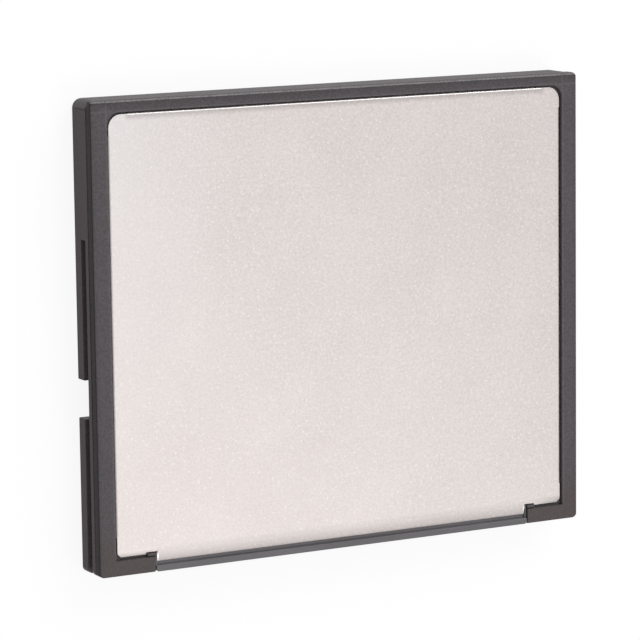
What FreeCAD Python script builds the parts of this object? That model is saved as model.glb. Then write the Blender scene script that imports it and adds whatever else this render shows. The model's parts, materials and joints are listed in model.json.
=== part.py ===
import FreeCAD, Part
import os
from math import cos, pi, sin

# Compact flash card lying flat. Units are millimetres.
# X runs across the card, Y from the connector end to the lip end, Z through the thickness.
# The origin is at the centre of the hidden face, and the face with the bare steel panel is up.

# Whole card
CARD_WIDTH = 42.80
CARD_LENGTH = 36.40
CARD_THICKNESS = 3.30
CORNER_RADIUS = 0.40
BACK_LIP_RADIUS = 0.75
EDGE_BREAK = 0.09
LIP_EDGE_BREAK = 0.18

# Moulded frame: rails, lip and feet
RAIL_WIDTH = 1.40
LIP_WIDTH = 0.95
FOOT_LENGTH = 4.70
FOOT_HEIGHT = 1.20
FOOT_LEDGE = 0.70
WINDOW_RADIUS = 1.00
RIB_WIDTH = 0.75
SLOT_WEB = 0.30
PAD_GROOVE = 0.07
PAD_CLEARANCE = 0.05
PAD_DROP = 0.05

# Guide grooves and notches of the frame's sides
GROOVE_LENGTH = 25.78
GROOVE_DEPTH = 0.57
LEFT_GROOVE_BACK = 1.15
LEFT_GROOVE_HEIGHT = 0.76
RIGHT_GROOVE_BACK = 0.86
RIGHT_GROOVE_HEIGHT = 0.99
NOTCH_START = 12.00
NOTCH_WIDTH = 3.00
NOTCH_DEPTH = 1.10
RELIEF_BACK = 2.45
RELIEF_DEPTH = 0.11
RELIEF_FRONT_DEPTH = 0.02

# Steel covers
COVER_RECESS = 0.15
SHEET_THICKNESS = 0.20
COVER_CLEARANCE = 0.05
INNER_BEND_RADIUS = 0.05
FLANGE_START = 3.00
FLANGE_CLEARANCE = 0.05
FLANGE_CORNER_GAP = 0.80
FLANGE_END_GAP = 0.15
CORNER_STEP = 0.09
CORNER_RELIEF = 0.20
COVER_CORNER_CHAMFER = 0.30
TAB_END = 0.75
TAB_GAP = 0.15
FOOT_GAP = 0.20
TAB_RELIEF_WIDTH = 0.91
TAB_RELIEF_DEPTH = 0.15
TAB_FALL_LENGTH = 0.95
TAB_FALL_DEPTH = 0.13
END_FALL_LENGTH = 0.55
END_FALL_DEPTH = 0.05
CATCH_WIDTH = 1.60
CATCH_HEIGHT = 0.28
CATCH_DEPTH = 0.15
CATCH_START = 0.42
CATCH_CLEARANCE = 0.05
CATCHES_PER_SIDE = 4

# Connector
CONTACT_PITCH = 1.27
ROW_PITCH = 1.27
ROW_END_WALL = 1.30
HEADER_LIP = 0.48
HEADER_LENGTH = 5.80
HEADER_GAP = 0.08
HEADER_LIP_CHAMFER = 0.15
HEADER_EDGE_BREAK = 0.06
CHEEK_CLEARANCE = 0.03
CHEEK_DROP = 0.04
SOCKET_RADIUS = 0.28
SOCKET_WALL = 1.00
ENTRY_SIDES = 12
CAVITY_WIDTH = 0.72
CAVITY_HEIGHT = 0.58
EAR_LENGTH = 2.90
EAR_HEIGHT = 1.50
EAR_CLEARANCE = 0.05

# Contacts
CONTACT_THICKNESS = 0.12
CONTACT_WIDTH = 0.46
CONTACT_CLEARANCE = 0.02
FORK_START = 0.20
FORK_BASE = 0.60
FORK_SETBACK = 0.80
TAIL_THICKNESS = 0.15
TAIL_SLOPE_LENGTH = 0.70
TAIL_FOOT_LENGTH = 1.00

# Circuit board and its seats in the frame
BOARD_THICKNESS = 0.40
BOARD_SIDE_GAP = 0.30
BOARD_LIP_GAP = 0.40
BOARD_START_GAP = 0.30
BOARD_CORNER_RADIUS = 0.60
SHELF_DEPTH = 0.65
SHELF_LENGTH = 2.00
SHELF_CLEARANCE = 0.07
SHELVES_PER_SIDE = 3
PEG_RADIUS = 0.50
PEG_CLEARANCE = 0.06
PEG_SETBACK = 10.60

# Insulating films
FILM_THICKNESS = 0.06
FILM_MARGIN = 0.35
FILM_CORNER_CHAMFER = 1.20
FILM_START_GAP = 0.50

# Chips
CHIP_CLEARANCE = 0.27
CHIP_STANDOFF = 0.08
CHIP_TAPER_WIDTH = 0.12
LEAD_THICKNESS = 0.12
LEAD_FOOT_LENGTH = 0.45
FLASH_LENGTH = 18.40
FLASH_WIDTH = 10.16
FLASH_LEAD_LENGTH = 0.80
FLASH_LEAD_WIDTH = 0.30
FLASH_LEAD_PITCH = 0.80
FLASH_LEAD_MARGIN = 0.70
CONTROLLER_WIDTH = 10.00
CONTROLLER_LEAD_LENGTH = 1.00
CONTROLLER_LEAD_WIDTH = 0.22
CONTROLLER_LEAD_PITCH = 0.50
CONTROLLER_LEAD_MARGIN = 1.20
DIMPLE_RADIUS = 0.40
DIMPLE_DEPTH = 0.05
DIMPLE_INSET = 1.20

# Small parts on the board's upper side
PART_GAP = 0.80
REGULATOR_LENGTH = 2.90
REGULATOR_WIDTH = 1.60
REGULATOR_LEAD_LENGTH = 0.60
REGULATOR_LEAD_FOOT_LENGTH = 0.30
REGULATOR_LEAD_WIDTH = 0.40
REGULATOR_LEAD_PITCH = 0.95
REGULATOR_LEAD_MARGIN = 0.45
CRYSTAL_LENGTH = 3.20
CRYSTAL_WIDTH = 2.50
CRYSTAL_BASE_HEIGHT = 0.50
CRYSTAL_LID_HEIGHT = 0.22
CRYSTAL_LID_INSET = 0.15
CRYSTAL_LID_RADIUS = 0.30
TANTALUM_LENGTH = 3.20
TANTALUM_WIDTH = 1.60
TANTALUM_HEIGHT = 0.80
TANTALUM_TERMINAL_LENGTH = 0.25
CAPACITOR_LENGTH = 1.60
CAPACITOR_WIDTH = 0.80
CAPACITOR_HEIGHT = 0.50
CAPACITOR_TERMINAL_LENGTH = 0.30
CAPACITOR_PITCH = 2.40
CAPACITORS_IN_LINE = 7
TERMINAL_STEP = 0.03

# Small parts on the board's under side
UNDER_CLEARANCE = 0.33
RESISTOR_LENGTH = 1.00
RESISTOR_WIDTH = 0.50
RESISTOR_TERMINAL_LENGTH = 0.20
RESISTOR_PITCH = 3.00
RESISTORS_IN_LINE = 8
NETWORK_LENGTH = 3.20
NETWORK_WIDTH = 1.30
NETWORK_PITCH = 6.00
NETWORKS = 4
NETWORK_TERMINALS = 4
NETWORK_TERMINAL_WIDTH = 0.40
NETWORK_TERMINAL_LENGTH = 0.15

# Working values: how far a cut runs past the face that it opens, what counts as the same place,
# and the sine of 45 degrees
OVERSHOOT = 1.00
SAME = 1e-6
SLANT = 2 ** -0.5

# Places that follow from the sizes above
SIDE = CARD_WIDTH / 2
END = -CARD_LENGTH / 2
LIP = CARD_LENGTH / 2
MIDDLE = CARD_THICKNESS / 2
WINDOW_SIDE = SIDE - RAIL_WIDTH
WINDOW_LIP = LIP - LIP_WIDTH
MOUTH_SIDE = SIDE - FOOT_LENGTH
LEDGE_BACK = END + FOOT_HEIGHT + FOOT_LEDGE
COVER_FACE = CARD_THICKNESS - COVER_RECESS
SEAT = COVER_FACE - SHEET_THICKNESS
UNDER_SEAT = CARD_THICKNESS - SEAT
SLOT_WIDTH = COVER_CLEARANCE + SHEET_THICKNESS + FLANGE_CLEARANCE
SLOT_FLOOR = MIDDLE + SLOT_WEB / 2
RIB_SIDE = WINDOW_SIDE - SLOT_WIDTH - RIB_WIDTH
RIB_LIP = WINDOW_LIP - SLOT_WIDTH - RIB_WIDTH
COVER_SIDE = WINDOW_SIDE - COVER_CLEARANCE
COVER_LIP = WINDOW_LIP - COVER_CLEARANCE
COVER_FOOT = END + FOOT_HEIGHT + FOOT_GAP
OUTER_BEND_RADIUS = INNER_BEND_RADIUS + SHEET_THICKNESS
FLANGE_SIDE = WINDOW_SIDE - WINDOW_RADIUS - FLANGE_CORNER_GAP
FLANGE_LIP = WINDOW_LIP - WINDOW_RADIUS - FLANGE_CORNER_GAP
FLANGE_FOOT = END + FLANGE_START
FLANGE_END = SLOT_FLOOR + FLANGE_END_GAP
CATCH_TOP = SEAT - CATCH_START + CATCH_HEIGHT / 2
CATCH_LOW = CATCH_TOP - CATCH_HEIGHT
HEADER_SIDE = MOUTH_SIDE - HEADER_GAP
TAB_SIDE = HEADER_SIDE - TAB_GAP
TAB_ROOT = COVER_FOOT + TAB_RELIEF_DEPTH
HEADER_BACK = END + HEADER_LENGTH
CONTACTS_PER_ROW = int(2 * (HEADER_SIDE - ROW_END_WALL) / CONTACT_PITCH) + 1
UPPER_ROW = MIDDLE + ROW_PITCH / 2
LOWER_ROW = MIDDLE - ROW_PITCH / 2
FORK_END = HEADER_BACK - FORK_SETBACK
BOARD_BOTTOM = LOWER_ROW + TAIL_THICKNESS / 2
BOARD_TOP = BOARD_BOTTOM + BOARD_THICKNESS
BOARD_SIDE = RIB_SIDE - BOARD_SIDE_GAP
BOARD_START = HEADER_BACK + BOARD_START_GAP
BOARD_LIP = RIB_LIP - BOARD_LIP_GAP
TAIL_END = BOARD_START + TAIL_SLOPE_LENGTH + TAIL_FOOT_LENGTH
UNDER_FILM_TOP = UNDER_SEAT + FILM_THICKNESS
SHELF_BOTTOM = UNDER_FILM_TOP + SHELF_CLEARANCE
PEG_PLACE = BOARD_LIP - PEG_SETBACK
FILM_SIDE = RIB_SIDE - FILM_MARGIN
FILM_START = HEADER_BACK + FILM_START_GAP
FILM_LIP = RIB_LIP - FILM_MARGIN
CHIP_BOTTOM = BOARD_TOP + CHIP_STANDOFF
CHIP_TOP = SEAT - FILM_THICKNESS - CHIP_CLEARANCE
CHIP_MIDDLE = (CHIP_BOTTOM + CHIP_TOP) / 2
UNDER_PART_HEIGHT = BOARD_BOTTOM - UNDER_FILM_TOP - UNDER_CLEARANCE


def vec(x, y, z):
    return FreeCAD.Vector(x, y, z)


def box(x0, x1, y0, y1, z0, z1):
    return Part.makeBox(x1 - x0, y1 - y0, z1 - z0, vec(x0, y0, z0))


def polygon_prism(corners, run):
    """A closed outline of corner points, pushed along the vector run."""
    return Part.Face(Part.makePolygon(corners + corners[:1])).extrude(run)


def outline_across(points, x0, x1):
    """An outline of (y, z) points, pushed across the card from x0 to x1."""
    return polygon_prism([vec(x0, y, z) for y, z in points], vec(x1 - x0, 0, 0))


def outline_along(points, y0, y1):
    """An outline of (x, z) points, pushed along the card from y0 to y1."""
    return polygon_prism([vec(x, y0, z) for x, z in points], vec(0, y1 - y0, 0))


def joined(shapes):
    whole = shapes[0].multiFuse(shapes[1:]) if len(shapes) > 1 else shapes[0]
    return whole.removeSplitter()


def without(shape, cuts):
    for cut in cuts:
        shape = shape.cut(cut)
    return shape


def across(shape):
    """The same shape on the card's other side."""
    return shape.mirror(vec(0, 0, 0), vec(1, 0, 0))


def turned_over(shape):
    """The same shape on the card's other face."""
    return shape.mirror(vec(0, 0, MIDDLE), vec(0, 0, 1))


def upright_edges(shape, wanted=lambda x, y: True):
    """The edges that run through the thickness, at the places that wanted accepts."""
    found = []
    for edge in shape.Edges:
        low, high = edge.Vertexes[0].Point, edge.Vertexes[-1].Point
        upright = abs(low.x - high.x) < SAME and abs(low.y - high.y) < SAME
        if upright and wanted(low.x, low.y):
            found.append(edge)
    return found


def face_edges(shape, height):
    """The edges that lie at one height."""
    box_of = [(edge, edge.BoundBox) for edge in shape.Edges]
    return [edge for edge, b in box_of if abs(b.ZMin - height) < SAME and abs(b.ZMax - height) < SAME]


def even_places(count, spacing):
    """Places along a line, evenly spaced about its middle."""
    return [(i - (count - 1) / 2) * spacing for i in range(count)]


# Moulded frame

def window(z0, z1):
    """The room between the rails, from the feet to the lip, with its two round corners."""
    room = box(-WINDOW_SIDE, WINDOW_SIDE, END + FOOT_HEIGHT, WINDOW_LIP, z0, z1)
    return room.makeFillet(WINDOW_RADIUS, upright_edges(room, lambda x, y: y > 0))


def mouth(z0, z1):
    """The way out between the two feet."""
    return box(-MOUTH_SIDE, MOUTH_SIDE, END - OVERSHOOT, LEDGE_BACK, z0, z1)


def layer(z0, z1, lip_radius, face):
    """One layer of the card's outline, with its corners rounded and the edges at its face broken."""
    block = box(-SIDE, SIDE, END, LIP, z0, z1)
    block = block.makeFillet(CORNER_RADIUS, upright_edges(block, lambda x, y: y < 0))
    block = block.makeFillet(lip_radius, upright_edges(block, lambda x, y: abs(y - LIP) < SAME))
    return block.makeChamfer(EDGE_BREAK, face_edges(block, face))


def lip_edge_cut():
    """What the wider break of the lip's shown edge takes off."""
    low, high = CARD_THICKNESS - LIP_EDGE_BREAK, CARD_THICKNESS + OVERSHOOT
    points = [(LIP, low), (LIP + OVERSHOOT, low), (LIP + OVERSHOOT, high),
              (LIP - LIP_EDGE_BREAK - OVERSHOOT, high)]
    return outline_across(points, -SIDE - OVERSHOOT, SIDE + OVERSHOOT)


def rim():
    """The outer ring. Its lip corners are rounder in the layer behind the sides' drafted strips."""
    back = layer(0, RELIEF_BACK, BACK_LIP_RADIUS, 0)
    front = layer(RELIEF_BACK, CARD_THICKNESS, CORNER_RADIUS, CARD_THICKNESS)
    edge_cut = lip_edge_cut()
    outline = without(joined([back, front]), [edge_cut, turned_over(edge_cut)])
    low, high = -OVERSHOOT, CARD_THICKNESS + OVERSHOOT
    return without(outline, [window(low, high), mouth(low, high)])


def locating_pad():
    """The left pad behind a foot, which fills the cover's notch beside its tab."""
    return box(-TAB_SIDE - TAB_RELIEF_WIDTH + PAD_CLEARANCE, -MOUTH_SIDE,
               END + FOOT_HEIGHT + PAD_GROOVE, TAB_ROOT - PAD_CLEARANCE, SEAT, CARD_THICKNESS - PAD_DROP)


def seat_ring():
    """The ledge inside the rails that both covers rest on, joined to the rim by a thin web."""
    inside = box(-RIB_SIDE, RIB_SIDE, LEDGE_BACK, RIB_LIP, 0, CARD_THICKNESS)
    return without(window(UNDER_SEAT, SEAT), [inside, mouth(0, CARD_THICKNESS)])


def flange_slots():
    """The slots that the upper cover's bent edges drop into."""
    start = FLANGE_FOOT - FLANGE_CLEARANCE
    end = FLANGE_LIP + FLANGE_CLEARANCE
    half = FLANGE_SIDE + FLANGE_CLEARANCE
    top = SEAT + OVERSHOOT
    side = box(-WINDOW_SIDE, -WINDOW_SIDE + SLOT_WIDTH, start, end, SLOT_FLOOR, top)
    lip = box(-half, half, WINDOW_LIP - SLOT_WIDTH, WINDOW_LIP, SLOT_FLOOR, top)
    return [side, across(side), lip]


def catch_outline(wall, inward):
    """The section of one catch: flat below, and sloped above for the cover to slide past."""
    tip = wall + inward * CATCH_DEPTH
    root = wall - inward * COVER_CLEARANCE
    shoulder = CATCH_LOW + CATCH_HEIGHT / 3
    return [(root, CATCH_LOW), (tip, CATCH_LOW), (tip, shoulder), (wall, CATCH_TOP), (root, CATCH_TOP)]


def side_catch_places():
    run = FLANGE_LIP - FLANGE_FOOT
    middle = (FLANGE_LIP + FLANGE_FOOT) / 2
    return [middle + y for y in even_places(CATCHES_PER_SIDE, run / CATCHES_PER_SIDE)]


def lip_catch_places():
    return even_places(CATCHES_PER_SIDE, 2 * FLANGE_SIDE / CATCHES_PER_SIDE)


def catches():
    """The small wedges that snap into the windows of the upper cover's flanges."""
    half = CATCH_WIDTH / 2
    wedges = []
    for y in side_catch_places():
        wedge = outline_along(catch_outline(-WINDOW_SIDE, 1), y - half, y + half)
        wedges += [wedge, across(wedge)]
    for x in lip_catch_places():
        wedges.append(outline_across(catch_outline(WINDOW_LIP, -1), x - half, x + half))
    return wedges


def board_seats():
    """Shelves under the circuit board's sides and one locating peg on each side."""
    seats = []
    span = BOARD_LIP - BOARD_START - 2 * BOARD_CORNER_RADIUS - SHELF_LENGTH
    middle = (BOARD_START + BOARD_LIP) / 2
    for y in even_places(SHELVES_PER_SIDE, span / (SHELVES_PER_SIDE - 1)):
        low = middle + y - SHELF_LENGTH / 2
        shelf = box(-RIB_SIDE, -RIB_SIDE + SHELF_DEPTH, low, low + SHELF_LENGTH, SHELF_BOTTOM, BOARD_BOTTOM)
        seats += [shelf, across(shelf)]
    peg = Part.makeCylinder(PEG_RADIUS, BOARD_TOP - SHELF_BOTTOM, vec(-RIB_SIDE, PEG_PLACE, SHELF_BOTTOM))
    peg = peg.cut(box(-SIDE, -RIB_SIDE, END, LIP, 0, CARD_THICKNESS))
    return seats + [peg, across(peg)]


def guide_groove(back, height):
    """A guide groove of the left side, open at the connector end."""
    return box(-SIDE - OVERSHOOT, -SIDE + GROOVE_DEPTH, END - OVERSHOOT, END + GROOVE_LENGTH,
               back, back + height)


def side_notch(back):
    """A notch through the layer behind the left guide groove."""
    start = END + NOTCH_START
    return box(-SIDE - OVERSHOOT, -SIDE + NOTCH_DEPTH, start, start + NOTCH_WIDTH, -OVERSHOOT, back)


def side_relief():
    """The shallow drafted strip of the left side, next to the shown face."""
    top = CARD_THICKNESS + OVERSHOOT
    lean = (RELIEF_DEPTH - RELIEF_FRONT_DEPTH) / (CARD_THICKNESS - RELIEF_BACK)
    outside = -SIDE - OVERSHOOT
    inner_top = -SIDE + RELIEF_FRONT_DEPTH - lean * OVERSHOOT
    points = [(outside, RELIEF_BACK), (-SIDE + RELIEF_DEPTH, RELIEF_BACK), (inner_top, top), (outside, top)]
    return outline_along(points, END - OVERSHOOT, LIP + OVERSHOOT)


def side_cuts():
    """What both sides lose: the two guide grooves differ, which keys the card."""
    left = [guide_groove(LEFT_GROOVE_BACK, LEFT_GROOVE_HEIGHT), side_notch(LEFT_GROOVE_BACK)]
    right = [guide_groove(RIGHT_GROOVE_BACK, RIGHT_GROOVE_HEIGHT), side_notch(RIGHT_GROOVE_BACK)]
    return left + [side_relief()] + [across(cut) for cut in right + [side_relief()]]


def moulded_frame():
    slots = flange_slots()
    slots += [turned_over(slot) for slot in slots]
    wedges = catches()
    wedges += [turned_over(wedge) for wedge in wedges]
    frame = without(joined([rim(), seat_ring()]), slots)
    pads = [locating_pad(), across(locating_pad())]
    pads += [turned_over(pad) for pad in pads]
    frame = joined([frame] + wedges + pads + board_seats())
    return without(frame, side_cuts()).removeSplitter()


# Steel covers

def cover_plate():
    """The flat of a cover: round corners at the lip, cut corners and a wide tab at the connector end."""
    side = COVER_SIDE - CORNER_STEP
    lip = COVER_LIP - CORNER_STEP
    radius = WINDOW_RADIUS - COVER_CLEARANCE - CORNER_STEP + CORNER_RELIEF
    plate = box(-side, side, COVER_FOOT, lip, SEAT, COVER_FACE)
    plate = plate.makeFillet(radius, upright_edges(plate, lambda x, y: y > 0))
    plate = plate.makeChamfer(COVER_CORNER_CHAMFER, upright_edges(plate, lambda x, y: y < 0))
    tab = box(-TAB_SIDE, TAB_SIDE, END + TAB_END, COVER_FOOT, SEAT, COVER_FACE)
    relief = box(TAB_SIDE, TAB_SIDE + TAB_RELIEF_WIDTH, END, TAB_ROOT, SEAT, COVER_FACE)
    return without(joined([plate, tab]), [relief, across(relief)])


def edge_fall(half_width, edge, length, depth):
    """What the press takes off an end of the sheet: its shown surface falls in a gentle curve."""
    start = edge + length
    radius = (length ** 2 + depth ** 2) / (2 * depth)
    round_bar = Part.makeCylinder(radius, 2 * half_width, vec(-half_width, start, COVER_FACE - radius),
                                  vec(1, 0, 0))
    return box(-half_width, half_width, edge, start, SEAT, COVER_FACE + OVERSHOOT).cut(round_bar)


def pressed_falls():
    """The falls of the tab's end and of the cover's end beside the tab."""
    tab_room = box(-TAB_SIDE, TAB_SIDE, END, COVER_FOOT + END_FALL_LENGTH, SEAT, COVER_FACE + OVERSHOOT)
    beside_tab = edge_fall(SIDE, COVER_FOOT, END_FALL_LENGTH, END_FALL_DEPTH).cut(tab_room)
    on_tab = edge_fall(TAB_SIDE, END + TAB_END, TAB_FALL_LENGTH, TAB_FALL_DEPTH)
    return [on_tab, beside_tab]


def bend_arc(edge, inward, radius):
    """A quarter turn of a bend about its centre, as (across, height) points from the flat down."""
    centre = edge + inward * OUTER_BEND_RADIUS
    height = COVER_FACE - OUTER_BEND_RADIUS
    start = (centre, height + radius)
    middle = (centre - inward * radius * SLANT, height + radius * SLANT)
    end = (centre - inward * radius, height)
    return start, middle, end


def flange(place, edge, inward, run):
    """A bent edge of the upper cover. place turns (across, height) into a point at the run's start."""
    outer = [place(*p) for p in bend_arc(edge, inward, OUTER_BEND_RADIUS)]
    inner = [place(*p) for p in bend_arc(edge, inward, INNER_BEND_RADIUS)]
    outer_foot = place(edge, FLANGE_END)
    inner_foot = place(edge + inward * SHEET_THICKNESS, FLANGE_END)
    edges = [
        Part.Arc(*outer).toShape(),
        Part.LineSegment(outer[2], outer_foot).toShape(),
        Part.LineSegment(outer_foot, inner_foot).toShape(),
        Part.LineSegment(inner_foot, inner[2]).toShape(),
        Part.Arc(*inner).toShape(),
        Part.LineSegment(inner[0], outer[0]).toShape(),
    ]
    return Part.Face(Part.Wire(Part.__sortEdges__(edges))).extrude(run)


def side_flange():
    return flange(lambda x, z: vec(x, FLANGE_FOOT, z), -COVER_SIDE, 1, vec(0, FLANGE_LIP - FLANGE_FOOT, 0))


def lip_flange():
    return flange(lambda y, z: vec(-FLANGE_SIDE, y, z), COVER_LIP, -1, vec(2 * FLANGE_SIDE, 0, 0))


def flange_windows():
    """The openings in the flanges that the frame's catches snap into."""
    half = CATCH_WIDTH / 2 + CATCH_CLEARANCE
    low = CATCH_LOW - CATCH_CLEARANCE
    high = CATCH_TOP + CATCH_CLEARANCE
    outside = COVER_CLEARANCE
    inside = SHEET_THICKNESS + COVER_CLEARANCE
    openings = []
    for y in side_catch_places():
        opening = box(-COVER_SIDE - outside, -COVER_SIDE + inside, y - half, y + half, low, high)
        openings += [opening, across(opening)]
    for x in lip_catch_places():
        openings.append(box(x - half, x + half, COVER_LIP - inside, COVER_LIP + outside, low, high))
    return openings


def steel_cover():
    """The upper cover, pressed from one sheet: its flat, three bent edges and their windows."""
    flat_side = COVER_SIDE - OUTER_BEND_RADIUS
    flat_lip = COVER_LIP - OUTER_BEND_RADIUS
    side_bend = box(-COVER_SIDE, -flat_side, FLANGE_FOOT, FLANGE_LIP, SEAT, COVER_FACE)
    lip_bend = box(-FLANGE_SIDE, FLANGE_SIDE, flat_lip, COVER_LIP, SEAT, COVER_FACE)
    flat = without(cover_plate(), [side_bend, across(side_bend), lip_bend])
    side = side_flange()
    cover = joined([flat, side, across(side), lip_flange()])
    return without(cover, pressed_falls() + flange_windows()).removeSplitter()


# Connector

def header_lip():
    """The strip of the connector that fills the card's end between the feet, as thick as the card."""
    strip = box(-HEADER_SIDE, HEADER_SIDE, END, END + HEADER_LIP, 0, CARD_THICKNESS)
    strip = strip.makeChamfer(HEADER_LIP_CHAMFER, upright_edges(strip, lambda x, y: y < END + SAME))
    back_edges = [edge for z in (0, CARD_THICKNESS) for edge in face_edges(strip, z)
                  if abs(edge.BoundBox.YMin - END - HEADER_LIP) < SAME]
    return strip.makeChamfer(HEADER_EDGE_BREAK, back_edges)


def header_ear():
    """The left ear, which sits behind the foot and between the frame's ribs."""
    start = LEDGE_BACK + EAR_CLEARANCE
    half = EAR_HEIGHT / 2
    return box(-RIB_SIDE + EAR_CLEARANCE, -HEADER_SIDE, start, start + EAR_LENGTH,
               MIDDLE - half, MIDDLE + half)


def socket_places():
    return even_places(CONTACTS_PER_ROW, CONTACT_PITCH)


def round_entry(x, z):
    """The round hole for one host pin."""
    return Part.makeCylinder(SOCKET_RADIUS, SOCKET_WALL + OVERSHOOT, vec(x, END - OVERSHOOT, z), vec(0, 1, 0))


def faceted_entry(x, z):
    """The same hole with flat sides that touch the round one, to keep the many holes to few faces."""
    reach = SOCKET_RADIUS / cos(pi / ENTRY_SIDES)
    turns = [2 * pi * (i + 0.5) / ENTRY_SIDES for i in range(ENTRY_SIDES)]
    corners = [vec(x + reach * cos(a), END - OVERSHOOT, z + reach * sin(a)) for a in turns]
    return polygon_prism(corners, vec(0, SOCKET_WALL + OVERSHOOT, 0))


def contact_cavity(x, z):
    """The square chamber behind an entry hole, open at the housing's back."""
    half_width = CAVITY_WIDTH / 2
    half_height = CAVITY_HEIGHT / 2
    return box(x - half_width, x + half_width, END + SOCKET_WALL, HEADER_BACK + OVERSHOOT,
               z - half_height, z + half_height)


def sockets():
    """All sockets. The outermost of each row are truly round, for a pin to be measured against."""
    places = socket_places()
    cuts = []
    for x in places:
        entry = round_entry if x in (places[0], places[-1]) else faceted_entry
        for z in (LOWER_ROW, UPPER_ROW):
            cuts.append(entry(x, z).fuse(contact_cavity(x, z)))
    return Part.makeCompound(cuts)


def header_cheek():
    """The left cheek, which runs back from the lip beside the shown cover's tab."""
    return box(-HEADER_SIDE, -TAB_SIDE - CHEEK_CLEARANCE, END + HEADER_LIP, TAB_ROOT - PAD_CLEARANCE,
               SEAT, COVER_FACE - CHEEK_DROP)


def connector_housing():
    body = box(-HEADER_SIDE, HEADER_SIDE, END + HEADER_LIP, HEADER_BACK, UNDER_SEAT, SEAT)
    ear = header_ear()
    cheeks = [header_cheek(), across(header_cheek())]
    cheeks += [turned_over(cheek) for cheek in cheeks]
    return joined([header_lip(), body, ear, across(ear)] + cheeks).cut(sockets())


def fork_outline(z):
    """One contact's fork from the side, as (y, z) points: two spring arms that grip the host's pin."""
    front = END + SOCKET_WALL + FORK_START
    throat = FORK_END - FORK_BASE
    reach = CAVITY_HEIGHT / 2 - CONTACT_CLEARANCE
    pinch = reach - CONTACT_THICKNESS
    upper = [(FORK_END, z + reach), (front, z + reach), (front, z + pinch), (throat, z + pinch)]
    lower = [(y, 2 * z - h) for y, h in reversed(upper)]
    return upper + lower


def upper_tail(z):
    """The upper row's tail: back out of the housing and down to the board's upper face."""
    half = TAIL_THICKNESS / 2
    foot = BOARD_START + TAIL_SLOPE_LENGTH
    top = BOARD_TOP + TAIL_THICKNESS
    under = [(FORK_END, z - half), (BOARD_START - half, z - half), (foot - half, BOARD_TOP),
             (TAIL_END, BOARD_TOP)]
    over = [(TAIL_END, top), (foot, top), (BOARD_START, z + half), (FORK_END, z + half)]
    return under + over


def lower_tail(z):
    """The lower row's tail: straight back under the board."""
    half = TAIL_THICKNESS / 2
    return [(FORK_END, z - half), (TAIL_END, z - half), (TAIL_END, z + half), (FORK_END, z + half)]


def contact_row(z, tail):
    """One row of separate contacts, each stamped from one strip."""
    half = CONTACT_WIDTH / 2
    outline = fork_outline(z) + tail(z)
    return Part.makeCompound([outline_across(outline, x - half, x + half) for x in socket_places()])


# Circuit board and films

def circuit_board():
    board = box(-BOARD_SIDE, BOARD_SIDE, BOARD_START, BOARD_LIP, BOARD_BOTTOM, BOARD_TOP)
    board = board.makeFillet(BOARD_CORNER_RADIUS, upright_edges(board))
    radius = PEG_RADIUS + PEG_CLEARANCE
    bite = Part.makeCylinder(radius, BOARD_THICKNESS, vec(-RIB_SIDE, PEG_PLACE, BOARD_BOTTOM))
    return without(board, [bite, across(bite)])


def upper_film():
    film = box(-FILM_SIDE, FILM_SIDE, FILM_START, FILM_LIP, SEAT - FILM_THICKNESS, SEAT)
    return film.makeChamfer(FILM_CORNER_CHAMFER, upright_edges(film))


# Chips

def moulded_body(x, y, length, width):
    """A chip's moulded body, length across the card, which tapers both ways from its leads' plane."""
    def ring(z, inset):
        a, b = length / 2 - inset, width / 2 - inset
        corners = [vec(x - a, y - b, z), vec(x + a, y - b, z), vec(x + a, y + b, z), vec(x - a, y + b, z)]
        return Part.makePolygon(corners + corners[:1])

    rings = [ring(CHIP_BOTTOM, CHIP_TAPER_WIDTH), ring(CHIP_MIDDLE, 0), ring(CHIP_TOP, CHIP_TAPER_WIDTH)]
    return Part.makeLoft(rings, True, True)


def dimple(x, y):
    """The shallow round mark that shows a chip's first lead, with the chip's corner at (x, y)."""
    place = vec(x + DIMPLE_INSET, y + DIMPLE_INSET, CHIP_TOP - DIMPLE_DEPTH)
    return Part.makeCylinder(DIMPLE_RADIUS, OVERSHOOT, place)


def lead(length, foot_length, width):
    """One lead at the origin: out of the body's side along X, then down to the board."""
    half = LEAD_THICKNESS / 2
    bend = length - foot_length
    top = BOARD_TOP + LEAD_THICKNESS
    points = [(0, CHIP_MIDDLE - half), (bend, BOARD_TOP), (length, BOARD_TOP),
              (length, top), (bend + half, top), (0, CHIP_MIDDLE + half)]
    return outline_along(points, -width / 2, width / 2)


def lead_line(x, y, turn, out, side, margin, pitch, shape):
    """The leads that fit on one side of a body. turn is that side's direction in degrees."""
    count = int((side - 2 * margin) / pitch) + 1
    leads = []
    for step in even_places(count, pitch):
        one = shape.copy()
        one.translate(vec(out, step, 0))
        one.rotate(vec(0, 0, 0), vec(0, 0, 1), turn)
        one.translate(vec(x, y, 0))
        leads.append(one)
    return leads


def flash_place():
    """The flash chip stands along the board's left side, in the corner at the lip."""
    x = -BOARD_SIDE + PART_GAP + FLASH_LEAD_LENGTH + FLASH_WIDTH / 2
    y = BOARD_LIP - PART_GAP - FLASH_LENGTH / 2
    return x, y


def controller_place():
    """The controller chip lies in the board's right corner at the lip."""
    inset = PART_GAP + CONTROLLER_LEAD_LENGTH + CONTROLLER_WIDTH / 2
    return BOARD_SIDE - inset, BOARD_LIP - inset


def flash_chip():
    x, y = flash_place()
    body = moulded_body(x, y, FLASH_WIDTH, FLASH_LENGTH)
    return body.cut(dimple(x - FLASH_WIDTH / 2, y - FLASH_LENGTH / 2))


def flash_chip_leads():
    x, y = flash_place()
    shape = lead(FLASH_LEAD_LENGTH, LEAD_FOOT_LENGTH, FLASH_LEAD_WIDTH)
    leads = []
    for turn in (0, 180):
        leads += lead_line(x, y, turn, FLASH_WIDTH / 2, FLASH_LENGTH, FLASH_LEAD_MARGIN,
                           FLASH_LEAD_PITCH, shape)
    return Part.makeCompound(leads)


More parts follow.
